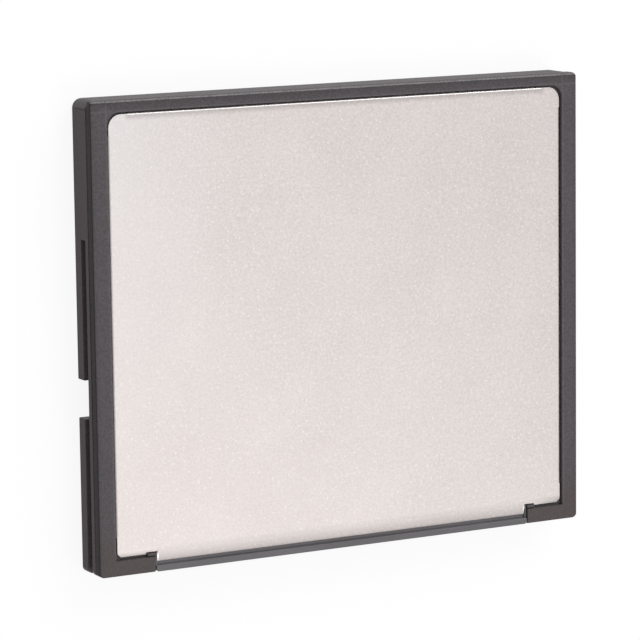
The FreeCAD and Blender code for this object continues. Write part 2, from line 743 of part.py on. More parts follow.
def controller_chip():
    x, y = controller_place()
    half = CONTROLLER_WIDTH / 2
    return moulded_body(x, y, CONTROLLER_WIDTH, CONTROLLER_WIDTH).cut(dimple(x - half, y - half))


def controller_leads():
    x, y = controller_place()
    shape = lead(CONTROLLER_LEAD_LENGTH, LEAD_FOOT_LENGTH, CONTROLLER_LEAD_WIDTH)
    leads = []
    for turn in (0, 90, 180, 270):
        leads += lead_line(x, y, turn, CONTROLLER_WIDTH / 2, CONTROLLER_WIDTH, CONTROLLER_LEAD_MARGIN,
                           CONTROLLER_LEAD_PITCH, shape)
    return Part.makeCompound(leads)


# Small parts on the upper side: a row before the controller and a column between the two chips

def row_y():
    """The middle of the free band between the contact tails and the controller's leads."""
    controller_front = controller_place()[1] - CONTROLLER_WIDTH / 2 - CONTROLLER_LEAD_LENGTH
    return (TAIL_END + controller_front) / 2


def regulator_place():
    return BOARD_SIDE - 2 * PART_GAP - REGULATOR_LENGTH / 2, row_y()


def crystal_place():
    x = regulator_place()[0] - REGULATOR_LENGTH / 2 - PART_GAP - CRYSTAL_LENGTH / 2
    return x, row_y()


def tantalum_place():
    x = crystal_place()[0] - CRYSTAL_LENGTH / 2 - PART_GAP - TANTALUM_LENGTH / 2
    return x, row_y()


def voltage_regulator():
    x, y = regulator_place()
    return moulded_body(x, y, REGULATOR_LENGTH, REGULATOR_WIDTH)


def regulator_leads():
    x, y = regulator_place()
    shape = lead(REGULATOR_LEAD_LENGTH, REGULATOR_LEAD_FOOT_LENGTH, REGULATOR_LEAD_WIDTH)
    leads = []
    for turn in (90, 270):
        leads += lead_line(x, y, turn, REGULATOR_WIDTH / 2, REGULATOR_LENGTH, REGULATOR_LEAD_MARGIN,
                           REGULATOR_LEAD_PITCH, shape)
    return Part.makeCompound(leads)


def block_on(x, y, length, width, z0, z1):
    """A plain block about a place on the board."""
    return box(x - length / 2, x + length / 2, y - width / 2, y + width / 2, z0, z1)


def crystal_base():
    x, y = crystal_place()
    return block_on(x, y, CRYSTAL_LENGTH, CRYSTAL_WIDTH, BOARD_TOP, BOARD_TOP + CRYSTAL_BASE_HEIGHT)


def crystal_lid():
    x, y = crystal_place()
    low = BOARD_TOP + CRYSTAL_BASE_HEIGHT
    length = CRYSTAL_LENGTH - 2 * CRYSTAL_LID_INSET
    width = CRYSTAL_WIDTH - 2 * CRYSTAL_LID_INSET
    lid = block_on(x, y, length, width, low, low + CRYSTAL_LID_HEIGHT)
    return lid.makeFillet(CRYSTAL_LID_RADIUS, upright_edges(lid))


def capped_part(x, y, length, width, height, terminal):
    """A small part lying across the card on the board: (its body, its two end caps)."""
    body = block_on(x, y, length - 2 * terminal, width - 2 * TERMINAL_STEP,
                    BOARD_TOP + TERMINAL_STEP, BOARD_TOP + height - TERMINAL_STEP)
    shift = (length - terminal) / 2
    caps = [block_on(x + side * shift, y, terminal, width, BOARD_TOP, BOARD_TOP + height) for side in (-1, 1)]
    return body, caps


def tantalum():
    x, y = tantalum_place()
    return capped_part(x, y, TANTALUM_LENGTH, TANTALUM_WIDTH, TANTALUM_HEIGHT, TANTALUM_TERMINAL_LENGTH)


def tantalum_capacitor():
    return tantalum()[0]


def tantalum_terminals():
    return Part.makeCompound(tantalum()[1])


def capacitors():
    """A column of ceramic capacitors midway between the two chips."""
    flash_right = flash_place()[0] + FLASH_WIDTH / 2 + FLASH_LEAD_LENGTH
    controller_left = controller_place()[0] - CONTROLLER_WIDTH / 2 - CONTROLLER_LEAD_LENGTH
    x = (flash_right + controller_left) / 2
    start = BOARD_LIP - PART_GAP - CAPACITOR_WIDTH / 2
    places = [start - i * CAPACITOR_PITCH for i in range(CAPACITORS_IN_LINE)]
    return [capped_part(x, y, CAPACITOR_LENGTH, CAPACITOR_WIDTH, CAPACITOR_HEIGHT, CAPACITOR_TERMINAL_LENGTH)
            for y in places]


def ceramic_capacitors():
    return Part.makeCompound([body for body, caps in capacitors()])


def capacitor_terminals():
    return Part.makeCompound([cap for body, caps in capacitors() for cap in caps])


# Small parts on the under side

def under_board(shape):
    """A part modelled on the board's upper side, moved to its under side."""
    return shape.mirror(vec(0, 0, (BOARD_TOP + BOARD_BOTTOM) / 2), vec(0, 0, 1))


def resistors():
    """A line of chip resistors under the board, level with the middle of the flash chip."""
    y = flash_place()[1]
    return [capped_part(x, y, RESISTOR_LENGTH, RESISTOR_WIDTH, UNDER_PART_HEIGHT, RESISTOR_TERMINAL_LENGTH)
            for x in even_places(RESISTORS_IN_LINE, RESISTOR_PITCH)]


def chip_resistors():
    return Part.makeCompound([under_board(body) for body, caps in resistors()])


def resistor_terminals():
    return Part.makeCompound([under_board(cap) for body, caps in resistors() for cap in caps])


def network_places():
    y = TAIL_END + PART_GAP + NETWORK_TERMINAL_LENGTH + NETWORK_WIDTH / 2
    return [(x, y) for x in even_places(NETWORKS, NETWORK_PITCH)]


def resistor_networks():
    """Four-way resistor networks under the board, next to the contact tails."""
    top = BOARD_TOP + UNDER_PART_HEIGHT
    bodies = [block_on(x, y, NETWORK_LENGTH, NETWORK_WIDTH, BOARD_TOP + TERMINAL_STEP, top)
              for x, y in network_places()]
    return Part.makeCompound([under_board(body) for body in bodies])


def network_terminals():
    shift = (NETWORK_WIDTH + NETWORK_TERMINAL_LENGTH) / 2
    top = BOARD_TOP + UNDER_PART_HEIGHT
    pads = []
    for x, y in network_places():
        for step in even_places(NETWORK_TERMINALS, NETWORK_LENGTH / NETWORK_TERMINALS):
            for side in (-1, 1):
                pad = block_on(x + step, y + side * shift, NETWORK_TERMINAL_WIDTH, NETWORK_TERMINAL_LENGTH,
                               BOARD_TOP, top)
                pads.append(under_board(pad))
    return Part.makeCompound(pads)


NODES = {
    "moulded_frame": moulded_frame,
    "upper_steel_cover": steel_cover,
    "lower_steel_cover": lambda: turned_over(steel_cover()),
    "connector_housing": connector_housing,
    "upper_contacts": lambda: contact_row(UPPER_ROW, upper_tail),
    "lower_contacts": lambda: contact_row(LOWER_ROW, lower_tail),
    "circuit_board": circuit_board,
    "upper_insulating_film": upper_film,
    "lower_insulating_film": lambda: turned_over(upper_film()),
    "flash_chip": flash_chip,
    "flash_chip_leads": flash_chip_leads,
    "controller_chip": controller_chip,
    "controller_chip_leads": controller_leads,
    "voltage_regulator": voltage_regulator,
    "voltage_regulator_leads": regulator_leads,
    "crystal_base": crystal_base,
    "crystal_lid": crystal_lid,
    "tantalum_capacitor": tantalum_capacitor,
    "tantalum_capacitor_terminals": tantalum_terminals,
    "ceramic_capacitors": ceramic_capacitors,
    "ceramic_capacitor_terminals": capacitor_terminals,
    "chip_resistors": chip_resistors,
    "chip_resistor_terminals": resistor_terminals,
    "resistor_networks": resistor_networks,
    "resistor_network_terminals": network_terminals,
}

os.makedirs("parts", exist_ok=True)
for name, make in NODES.items():
    make().exportStep(f"parts/{name}.step")
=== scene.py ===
import json
from math import cos, pi, radians, sin

import bpy
from mathutils import Matrix, Vector


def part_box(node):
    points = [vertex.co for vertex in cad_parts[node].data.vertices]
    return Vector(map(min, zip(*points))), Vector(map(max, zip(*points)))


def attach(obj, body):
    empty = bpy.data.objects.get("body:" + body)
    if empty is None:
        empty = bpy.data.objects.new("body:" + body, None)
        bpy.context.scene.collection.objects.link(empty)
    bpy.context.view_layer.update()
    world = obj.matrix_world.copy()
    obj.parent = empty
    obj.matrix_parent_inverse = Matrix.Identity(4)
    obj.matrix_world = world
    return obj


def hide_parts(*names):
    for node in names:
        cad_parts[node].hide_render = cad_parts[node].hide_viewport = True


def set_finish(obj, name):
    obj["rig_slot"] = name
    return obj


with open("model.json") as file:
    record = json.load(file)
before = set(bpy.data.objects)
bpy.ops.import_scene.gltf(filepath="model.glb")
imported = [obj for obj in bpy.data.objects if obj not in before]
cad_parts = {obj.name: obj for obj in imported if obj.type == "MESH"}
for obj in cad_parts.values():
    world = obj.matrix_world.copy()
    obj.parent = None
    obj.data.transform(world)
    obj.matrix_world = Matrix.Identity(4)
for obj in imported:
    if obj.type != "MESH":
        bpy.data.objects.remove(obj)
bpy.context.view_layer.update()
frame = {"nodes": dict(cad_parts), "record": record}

# Compact flash card lying flat, with its bare steel panel up. X runs across the card, and Y runs from the
# connector end to the lip end. Sizes are in millimetres, and MM makes metres.
MM = 0.001

# The card's own sizes, read from its frame, covers and connector
FRAME_LOW, FRAME_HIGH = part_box("moulded_frame")
PANEL_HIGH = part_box("upper_steel_cover")[1]
UNDER_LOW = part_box("lower_steel_cover")[0]
HEADER_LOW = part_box("connector_housing")[0]
SIDE = FRAME_HIGH.x
LIP = FRAME_HIGH.y
END = FRAME_LOW.y
SHOWN_FACE = FRAME_HIGH.z
HIDDEN_FACE = FRAME_LOW.z
MIDDLE = (SHOWN_FACE + HIDDEN_FACE) / 2
HALF_THICKNESS = (SHOWN_FACE - HIDDEN_FACE) / 2

# Places on the frame that its box doesn't give
STRIP_BACK = 2.45 * MM
STRIP_DEPTH = 0.11 * MM
LIP_CORNER = 0.80 * MM
LIP_RIM = 0.18 * MM
LIP_RAIL = 0.95 * MM
SIDE_RAIL = 1.40 * MM

# Places on the covers that their boxes don't give
TAB_SIDE = 16.47 * MM
TAB_ROOT = -16.65 * MM
COVER_FOOT = -16.80 * MM
BENT_SIDE = 18.20 * MM
BENT_ENDS = (15.45 * MM, -15.20 * MM)
TAB_FALL = 0.13 * MM
END_FALL = 0.05 * MM

# Edge rounding. The tab's sides stay sharp as far as TAB_ROOT_PLAIN from the tab's root. The housing's lip is
# found within HEADER_LIP_REACH of its end, and is rounded where it lies within HEADER_LIP_SKIN of a face.
FRAME_EDGE = 0.04 * MM
OUTER_SKIN = 0.13 * MM
SHEET_EDGE = 0.05 * MM
TAB_ROOT_PLAIN = 0.40 * MM
HEADER_EDGE = 0.035 * MM
HEADER_LIP_REACH = 0.60 * MM
HEADER_LIP_SKIN = 0.30 * MM
EDGE_STEPS = 3
SHARP = radians(30)
SMOOTH_UNDER = radians(42)

# How close two places count as the same, and how flat faces are joined
SAME = 0.002 * MM
MERGED = SAME / 4
NEARLY_FLAT = radians(0.4)
TRULY_FLAT = radians(0.01)

# Sockets
CONTACTS_PER_ROW = 25
ROWS = 2
CONTACT_PITCH = 1.27 * MM
ROW_PITCH = 1.27 * MM
HOLE_RADIUS = 0.2905 * MM
MOUTH_RADIUS = 0.43 * MM
MOUTH_DEPTH = 0.14 * MM
SOCKET_WALL = 1.00 * MM
HOLE_SIDES = 24
CUT_OVERSHOOT = 0.02 * MM

# Camera: what it looks at on the shown face, and how far, how high and how turned it stands
AIM = Vector((-2.178, 0.106, 3.300)) * MM
CAMERA_DISTANCE = 273.94 * MM
CAMERA_HEIGHT_ANGLE = radians(60.543)
CAMERA_TURN = radians(161.625)
CAMERA_ROLL = radians(-0.719)
LENS = 198.22
SENSOR = 36.0
NEAREST_SEEN = 0.01
FARTHEST_SEEN = 10.0

# Studio. The floor lies a hair under the card. Lights and floor tones are brightnesses, where 1 is white.
WHITE = (1.0, 1.0, 1.0)
FLOOR_HALF = 2.0
FLOOR_DROP = 0.01 * MM
SKY_LIGHT = 0.54
FLOOR_BOUNCE = 0.55
FLOOR_WHITE = 0.93
FLOOR_GLOW = 0.84
FLOOR_GLOW_LIGHT = 1.05
LAMP_LIGHT = 2.6
KEY_PLACE = (0.22, 0.38, 0.28)
KEY_SIZE = (0.50, 0.25)
OVERHEAD_PLACE = (0.15, -0.21, 0.49)
OVERHEAD_SIZE = (0.24, 0.24)


# Working in object and edit mode

def work_on(piece):
    """Makes piece the only selected object, in object mode."""
    if bpy.context.object and bpy.context.object.mode != "OBJECT":
        bpy.ops.object.mode_set(mode="OBJECT")
    bpy.ops.object.select_all(action="DESELECT")
    bpy.context.view_layer.objects.active = piece
    piece.select_set(True)


def edit(piece, kind):
    """Opens piece in edit mode, with nothing selected and kind as what is picked."""
    work_on(piece)
    bpy.ops.object.mode_set(mode="EDIT")
    bpy.ops.mesh.select_mode(type=kind)
    bpy.ops.mesh.select_all(action="DESELECT")


def done():
    """Goes back to object mode."""
    bpy.ops.object.mode_set(mode="OBJECT")


def apply_modifier(piece, kind, **settings):
    """Adds a modifier with its settings and applies it."""
    work_on(piece)
    modifier = piece.modifiers.new(kind.lower(), kind)
    for name, value in settings.items():
        setattr(modifier, name, value)
    bpy.ops.object.modifier_apply(modifier=modifier.name)


def copy_of(node, name, flat=NEARLY_FLAT):
    """A CAD node's form as a new piece. Triangles that meet at an angle under flat become whole faces."""
    mesh = frame["nodes"][node].data.copy()
    mesh.name = name
    mesh.materials.clear()
    piece = bpy.data.objects.new(name, mesh)
    bpy.context.scene.collection.objects.link(piece)
    work_on(piece)
    bpy.ops.mesh.customdata_custom_splitnormals_clear()
    edit(piece, "VERT")
    bpy.ops.mesh.select_all(action="SELECT")
    bpy.ops.mesh.remove_doubles(threshold=MERGED)
    bpy.ops.mesh.dissolve_limited(angle_limit=flat)
    done()
    return piece


def select_sharp(piece, wanted):
    """Opens piece in edit mode with those of its sharp edges selected whose two ends wanted accepts."""
    edit(piece, "EDGE")
    bpy.ops.mesh.edges_select_sharp(sharpness=SHARP)
    done()
    points = piece.data.vertices
    # A face left selected would select its edges again
    for face in piece.data.polygons:
        face.select = False
    for edge in piece.data.edges:
        if edge.select:
            a, b = (points[v].co for v in edge.vertices)
            edge.select = wanted(a, b)
    bpy.ops.object.mode_set(mode="EDIT")


def round_edges(piece, width, wanted):
    """Rounds the sharp edges whose two ends wanted accepts together."""
    select_sharp(piece, wanted)
    bpy.ops.mesh.bevel(offset=width, segments=EDGE_STEPS, affect="EDGES", clamp_overlap=False)
    done()


def hold_in_box(piece, node):
    """Brings back any point that the rounding pushed a hair past the CAD node's box."""
    low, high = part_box(node)
    for point in piece.data.vertices:
        point.co = [min(max(value, least), most) for value, least, most in zip(point.co, low, high)]


def finish_surface(piece):
    """Smooth bends beside flat faces that stay flat."""
    work_on(piece)
    bpy.ops.object.shade_smooth_by_angle(angle=SMOOTH_UNDER)
    apply_modifier(piece, "WEIGHTED_NORMAL", keep_sharp=True, weight=100)


# Moulded frame

def on_outer_skin(point):
    """True on the parts of the frame that show: its two faces, its sides and its two ends."""
    near_face = point.z > SHOWN_FACE - OUTER_SKIN or point.z < HIDDEN_FACE + OUTER_SKIN
    near_side = abs(point.x) > SIDE - OUTER_SKIN
    near_end = point.y > LIP - OUTER_SKIN or point.y < END + OUTER_SKIN
    return near_face or near_side or near_end


def on_corner_ledge(point):
    """True on the sliver of a ledge that goes round each lip corner, where the strip beside it starts."""
    return abs(point.z - STRIP_BACK) < SAME and point.y > LIP - LIP_CORNER


def frame_edge_shows(a, b):
    """True for a frame edge from a to b that shows and has room to be rounded."""
    on_ledge = on_corner_ledge(a) and on_corner_ledge(b)
    return on_outer_skin(a) and on_outer_skin(b) and not on_ledge


def frame_moulding():
    """The frame, with its showing edges rounded."""
    piece = copy_of("moulded_frame", "frame_moulding")
    round_edges(piece, FRAME_EDGE, frame_edge_shows)
    hold_in_box(piece, "moulded_frame")
    finish_surface(piece)
    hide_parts("moulded_frame")
    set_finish(piece, "frame_plastic")
    return piece


# Steel covers

def pressed_cover(node, name, face):
    """One steel cover with its sheared edges rolled over. face is the height of its outer surface."""
    piece = copy_of(node, name)

    def near_face(point):
        """True on the outer surface, also where the press let it fall."""
        fall = TAB_FALL if point.y < TAB_ROOT else END_FALL
        return abs(point.z - face) < fall + SAME

    def on_step(point):
        """True on the low steps beside the tab's root and beside the bends."""
        across = abs(point.x)
        beside_tab = abs(across - TAB_SIDE) < SAME and point.y > TAB_ROOT - TAB_ROOT_PLAIN
        beside_bend = abs(across - BENT_SIDE) < SAME or min(abs(point.y - end) for end in BENT_ENDS) < SAME
        return beside_tab or beside_bend

    def sheared(a, b):
        """True for an edge of the outer surface that isn't part of a low step."""
        return near_face(a) and near_face(b) and not (on_step(a) and on_step(b))

    round_edges(piece, SHEET_EDGE, sheared)
    finish_surface(piece)
    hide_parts(node)
    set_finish(piece, "cover_steel")
    return piece


# Connector housing

def socket_cutter():
    """The shape that one round socket with a flared mouth takes out of the housing's end."""
    bpy.ops.object.select_all(action="DESELECT")
    bpy.ops.mesh.primitive_circle_add(vertices=HOLE_SIDES, radius=MOUTH_RADIUS, fill_type="NGON",
                                      location=(0, END, MIDDLE), rotation=(radians(90), 0, 0))
    cutter = bpy.context.object
    cutter.name = "socket_cutter"
    bpy.ops.object.transform_apply(location=True, rotation=True, scale=True)
    edit(cutter, "FACE")
    bpy.ops.mesh.select_all(action="SELECT")
    bpy.ops.transform.translate(value=(0, -CUT_OVERSHOOT, 0))
    bpy.ops.mesh.extrude_region_move(TRANSFORM_OT_translate={"value": (0, CUT_OVERSHOOT + MOUTH_DEPTH, 0)})
    narrowing = HOLE_RADIUS / MOUTH_RADIUS
    bpy.ops.transform.resize(value=(narrowing, 1, narrowing), center_override=(0, END, MIDDLE))
    depth = SOCKET_WALL + CUT_OVERSHOOT - MOUTH_DEPTH
    bpy.ops.mesh.extrude_region_move(TRANSFORM_OT_translate={"value": (0, depth, 0)})
    bpy.ops.mesh.select_all(action="SELECT")
    bpy.ops.mesh.normals_make_consistent(inside=False)
    done()
    return cutter


def even_places(count, spacing):
    """Places along a line, evenly spaced about its middle."""
    return [(i - (count - 1) / 2) * spacing for i in range(count)]


def all_socket_cutters():
    """One cutter for each of the sockets, joined into one object."""
    first = socket_cutter()
    copies = []
    for x in even_places(CONTACTS_PER_ROW, CONTACT_PITCH):
        for z in even_places(ROWS, ROW_PITCH):
            one = bpy.data.objects.new("socket_cutter_copy", first.data.copy())
            one.data.transform(Matrix.Translation((x, 0, z)))
            bpy.context.scene.collection.objects.link(one)
            copies.append(one)
    bpy.data.objects.remove(first)
    bpy.ops.object.select_all(action="DESELECT")
    for one in copies:
        one.select_set(True)
    bpy.context.view_layer.objects.active = copies[0]
    bpy.ops.object.join()
    return copies[0]


def on_header_lip(point):
    """True on the housing's lip, which stands between the frame's feet, close to either face of the card."""
    between_faces = HIDDEN_FACE + HEADER_LIP_SKIN < point.z < SHOWN_FACE - HEADER_LIP_SKIN
    return point.y < HEADER_LOW.y + HEADER_LIP_REACH and not between_faces


def header_edge_shows(a, b):
    """True for a housing edge from a to b that runs along its lip next to a face."""
    return on_header_lip(a) and on_header_lip(b)


def header_moulding():
    """The connector housing, with its lip's edges rounded and its sockets cut round."""
    piece = copy_of("connector_housing", "header_moulding", TRULY_FLAT)
    round_edges(piece, HEADER_EDGE, header_edge_shows)
    cutters = all_socket_cutters()
    apply_modifier(piece, "BOOLEAN", operation="DIFFERENCE", solver="MANIFOLD", object=cutters)
    bpy.data.objects.remove(cutters)
    finish_surface(piece)
    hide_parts("connector_housing")
    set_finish(piece, "header_plastic")
    return piece


# Node trees

class Wire:
    """One output of a node. Plain arithmetic on it adds Math nodes, so that a pattern reads as a formula."""

    def __init__(self, finish, socket):
        self.finish = finish
        self.socket = socket

    def math(self, operation, *values):
        """A Math node on some values or wires."""
        return self.finish.node("Math", {"operation": operation}, dict(enumerate(values)))

    def __add__(self, other):
        return self.math("ADD", self, other)

    def __mul__(self, other):
        return self.math("MULTIPLY", self, other)

    def __sub__(self, other):
        return self.math("SUBTRACT", self, other)

    def __rsub__(self, other):
        return self.math("SUBTRACT", other, self)

    def __abs__(self):
        return self.math("ABSOLUTE", self)

    __radd__ = __add__
    __rmul__ = __mul__

    def or_more(self, other):
        """The larger of two."""
        return self.math("MAXIMUM", self, other)

    def or_less(self, other):
        """The smaller of two."""
        return self.math("MINIMUM", self, other)


class Finish:
    """A node tree in the making, of a material or of the world."""

    def __init__(self, owner):
        self.owner = owner
        owner.use_nodes = True
        self.tree = owner.node_tree

    def node(self, kind, settings=None, inputs=None, output=0):
        """Adds a node: its settings first, then its inputs by name or number. Gives one of its outputs."""
        made = self.tree.nodes.new("ShaderNode" + kind)
        for name, value in (settings or {}).items():
            setattr(made, name, value)
        for name, value in (inputs or {}).items():
            self.feed(made.inputs[name], value)
        return Wire(self, made.outputs[output])

    def feed(self, socket, value):
        """Links a wire to a socket, or sets the socket to a number or a colour."""
        if isinstance(value, Wire):
            self.tree.links.new(value.socket, socket)
        elif socket.type == "RGBA":
            socket.default_value = (*value, 1.0)
        else:
            socket.default_value = value

    def end_in(self, output_kind, shader):
        """Adds the tree's output node and leads a shader to it."""
        output = self.tree.nodes.new("ShaderNode" + output_kind)
        self.feed(output.inputs["Surface"], shader)


class Surface(Finish):
    """A material with one principled shader."""

    def __init__(self, name, **constants):
        super().__init__(bpy.data.materials.new(name))
        self.shader = self.tree.nodes["Principled BSDF"]
        self.place = self.node("TexCoord", output="Object")
        self.set(**constants)

    def set(self, **values):
        """Sets the shader's inputs by their names, with _ for a space."""
        for name, value in values.items():
            self.feed(self.shader.inputs[name.replace("_", " ")], value)

    def along(self, axis):
        """Place along X, Y or Z."""
        return self.node("SeparateXYZ", None, {"Vector": self.place}, axis)

    def noise(self, size, detail=2.0, roughness=0.5, stretch=None):
        """Soft noise whose blots are about size millimetres across, from 0 to 1."""
        place = self.place
        if stretch:
            place = self.node("Mapping", None, {"Vector": place, "Scale": stretch})
        inputs = {"Vector": place, "Scale": 1 / (size * MM), "Detail": detail, "Roughness": roughness}
        return self.node("TexNoise", None, inputs, "Fac")

    def cells(self, size):
        """Distance to the nearest of scattered points about size millimetres apart."""
        return self.node("TexVoronoi", None, {"Vector": self.place, "Scale": 1 / (size * MM)}, "Distance")

    def stretched(self, wire, span, to=(0.0, 1.0)):
        """Maps one span of values to another, held at both ends."""
        inputs = {"Value": wire, "From Min": span[0], "From Max": span[1], "To Min": to[0], "To Max": to[1]}
        return self.node("MapRange", {"clamp": True}, inputs)

    def rising(self, wire, step):
        """0 before a soft step and 1 after it."""
        return self.stretched(wire, step)

    def falling(self, wire, step):
        """1 before a soft step and 0 after it."""
        return self.stretched(wire, step, (1.0, 0.0))

    def band(self, wire, ends, soft):
        """1 between two ends and 0 outside, with edges that are soft wide."""
        low, high = ends
        rise = self.rising(wire, (low - soft / 2, low + soft / 2))
        return rise * self.falling(wire, (high - soft / 2, high + soft / 2))

    def blend(self, mask, low_colour, high_colour, share=1.0):
        """A colour that goes towards another by a share of the mask."""
        factor = mask if share == 1.0 else mask * share
        return self.node("Mix", {"data_type": "RGBA"}, {0: factor, 6: low_colour, 7: high_colour}, 2)

    def tint(self, mask, colour, amount):
        """A colour multiplied by amount where the mask is 1."""
        settings = {"data_type": "RGBA", "blend_type": "MULTIPLY"}
        return self.node("Mix", settings, {0: mask, 6: colour, 7: (amount, amount, amount)}, 2)

    def bump(self, height, depth):
        """A normal from a height, with depth in millimetres."""
        return self.node("Bump", None, {"Height": height, "Distance": depth * MM, "Strength": 1.0}, "Normal")


# Finishes

def soft_step(place, start, end):
    """The two ends of a soft change of finish, which lie start and end millimetres from a place."""
    return place + start * MM, place + end * MM


# Spans of soft noise, from its core outwards
NOISE_CORE = (0.40, 0.60)
NOISE_BODY = (0.35, 0.65)
NOISE_BULK = (0.30, 0.70)

# Where the frame's finish changes, measured across, along or up the card, or up and down from its middle
STRIP_SKIN = soft_step(SIDE - STRIP_DEPTH, -0.020, -0.010)
STRIP_START = soft_step(STRIP_BACK, 0.0, 0.30)
STRIP_END = soft_step(SHOWN_FACE, -0.04, -0.02)
WALL_SKIN = soft_step(SIDE, -0.02, -0.01)
WALL_END = soft_step(STRIP_BACK, -0.03, -0.01)
FACE_SKIN = soft_step(HALF_THICKNESS, -0.03, -0.01)
RAIL_OUTER_EDGE = (SIDE - 0.50 * MM, SIDE - STRIP_DEPTH)
FEET_END = soft_step(END, 1.5, 4.5)
LIP_SHADE = (LIP - LIP_RAIL + 0.10 * MM, LIP - LIP_RIM)
LIP_INNER_EDGE = soft_step(LIP - LIP_RAIL, 0.0, 0.14)
SIDE_INNER_EDGE = soft_step(SIDE - SIDE_RAIL, 0.0, 0.16)
SIDE_INNER_EDGE_START = soft_step(COVER_FOOT, -0.1, 0.1)
INNER_EDGE_SOFTNESS = 0.06 * MM
RIM_START = soft_step(LIP - LIP_RIM, -0.02, 0.02)
RIM_SKIN = soft_step(HALF_THICKNESS, -0.20, -0.17)
# Where the painted highlight on the lip's rim lies, and where it is brighter in patches
RIM_HIGHLIGHT_BAND = soft_step(LIP - LIP_RIM, -0.02, 0.10)
RIM_HIGHLIGHT_SOFTNESS = 0.04 * MM
RIM_HIGHLIGHT_PATCHES = (0.40, 0.55)


def charcoal_moulding():
    """The frame's plastic: charcoal with a faint purple cast, a spark-eroded grain, and painted shade and
    highlights.
    """
    s = Surface("charcoal_moulding", Specular_IOR_Level=0.30)
    across, along, up = abs(s.along("X")), s.along("Y"), s.along("Z")
    from_middle = abs(up - MIDDLE)
    blots = s.noise(size=1.8, detail=3.0)
    grain = s.noise(size=0.14, roughness=0.65)
    mottle = s.stretched(blots * 0.12 + grain * 0.88, NOISE_CORE)
    colour = s.blend(mottle, (0.068, 0.060, 0.065), (0.105, 0.092, 0.101))

    # The strip next to the shown face is painted darker as shade, and the wall below it, which faces away
    # from the lamps, gets painted shade and a warmer tone
    strip = s.rising(across, STRIP_SKIN) * s.rising(up, STRIP_START) * s.falling(up, STRIP_END)
    side_wall = s.rising(across, WALL_SKIN) * s.falling(up, WALL_END)
    colour = s.tint(strip, colour, 0.36)
    colour = s.tint(side_wall, colour, 0.60)
    colour = s.blend(side_wall, colour, (0.046, 0.029, 0.033), share=0.8)

    # The two faces: darker outer edges, warmer feet, painted shade on the lip rail and painted highlights
    # along the inner edges
    on_face = s.rising(from_middle, FACE_SKIN)
    outer_edge = s.rising(across, RAIL_OUTER_EDGE) * on_face
    feet = s.falling(along, FEET_END) * on_face
    lip_rail_shade = s.rising(along, LIP_SHADE) * on_face
    lip_inner_edge_highlight = s.band(along, LIP_INNER_EDGE, INNER_EDGE_SOFTNESS)
    side_inner_edge_highlight = s.band(across, SIDE_INNER_EDGE, INNER_EDGE_SOFTNESS)
    beside_panel = s.rising(along, SIDE_INNER_EDGE_START)
    inner_edge_highlight = lip_inner_edge_highlight.or_more(side_inner_edge_highlight * beside_panel) * on_face
    colour = s.tint(outer_edge, colour, 0.86)
    colour = s.blend(feet, colour, (0.073, 0.049, 0.035), share=0.35)
    colour = s.tint(lip_rail_shade, colour, 0.68)
    colour = s.tint(inner_edge_highlight, colour, 1.25)

    # A painted highlight on the lip's rim, brighter in patches along its edge
    rim = s.rising(along, RIM_START) * s.rising(from_middle, RIM_SKIN)
    patches = s.stretched(blots * 0.3 + grain * 0.7, RIM_HIGHLIGHT_PATCHES)
    patchy_rim_highlight = s.band(along, RIM_HIGHLIGHT_BAND, RIM_HIGHLIGHT_SOFTNESS) * patches
    colour = s.blend(rim, colour, (0.150, 0.138, 0.146), share=0.6)
    colour = s.blend(rim * patchy_rim_highlight, colour, (0.260, 0.245, 0.255))
    s.set(Base_Color=colour)

    rim_polish = rim * 0.12
    strip_dullness = strip * 0.20
    s.set(Roughness=s.stretched(grain, NOISE_BULK, (0.48, 0.62)) - rim_polish + strip_dullness)
    pits = s.cells(size=0.15)
    s.set(Normal=s.bump(pits * 0.6 + grain * 0.4, depth=0.018))
    return s.owner


# Where the covers' finish changes: across and along the card
SHEEN_ACROSS = (-19.5 * MM, -9.0 * MM)
SHEEN_ALONG = (-10.0 * MM, 14.0 * MM)
HOLLOW_SIDES = soft_step(BENT_SIDE, 0.0, 0.4)
BEND_SIDES = soft_step(BENT_SIDE, 0.0, 0.1)
TAB_EDGES = soft_step(TAB_SIDE, 0.0, 0.01)
TAB_FALL_START = soft_step(END, 1.25, 1.95)
END_FALL_START = soft_step(COVER_FOOT, 0.0, 0.5)
TAB_SHEARED_SIDES = soft_step(TAB_SIDE, -0.08, 0.02)
TAB_SHEARED_SOFTNESS = 0.01 * MM
TAB_SHEARED_START = soft_step(TAB_ROOT, 0.0, 0.1)

# Where it changes back from the lip end, and down from the outer surface
BEND_BACK = soft_step(0.0, 0.10, 0.15)
HOLLOW_START = soft_step(0.0, 0.14, 0.25)
HOLLOW_BACK = soft_step(0.0, 0.28, 0.65)
CORNERS_BACK = soft_step(0.0, 1.0, 1.2)
SHEARED_UNDER = soft_step(0.0, 0.003, 0.030)

# How far a glint of the steel reaches from its point, in shares of the glints' spacing
GLINT_REACH = (0.10, 0.22)


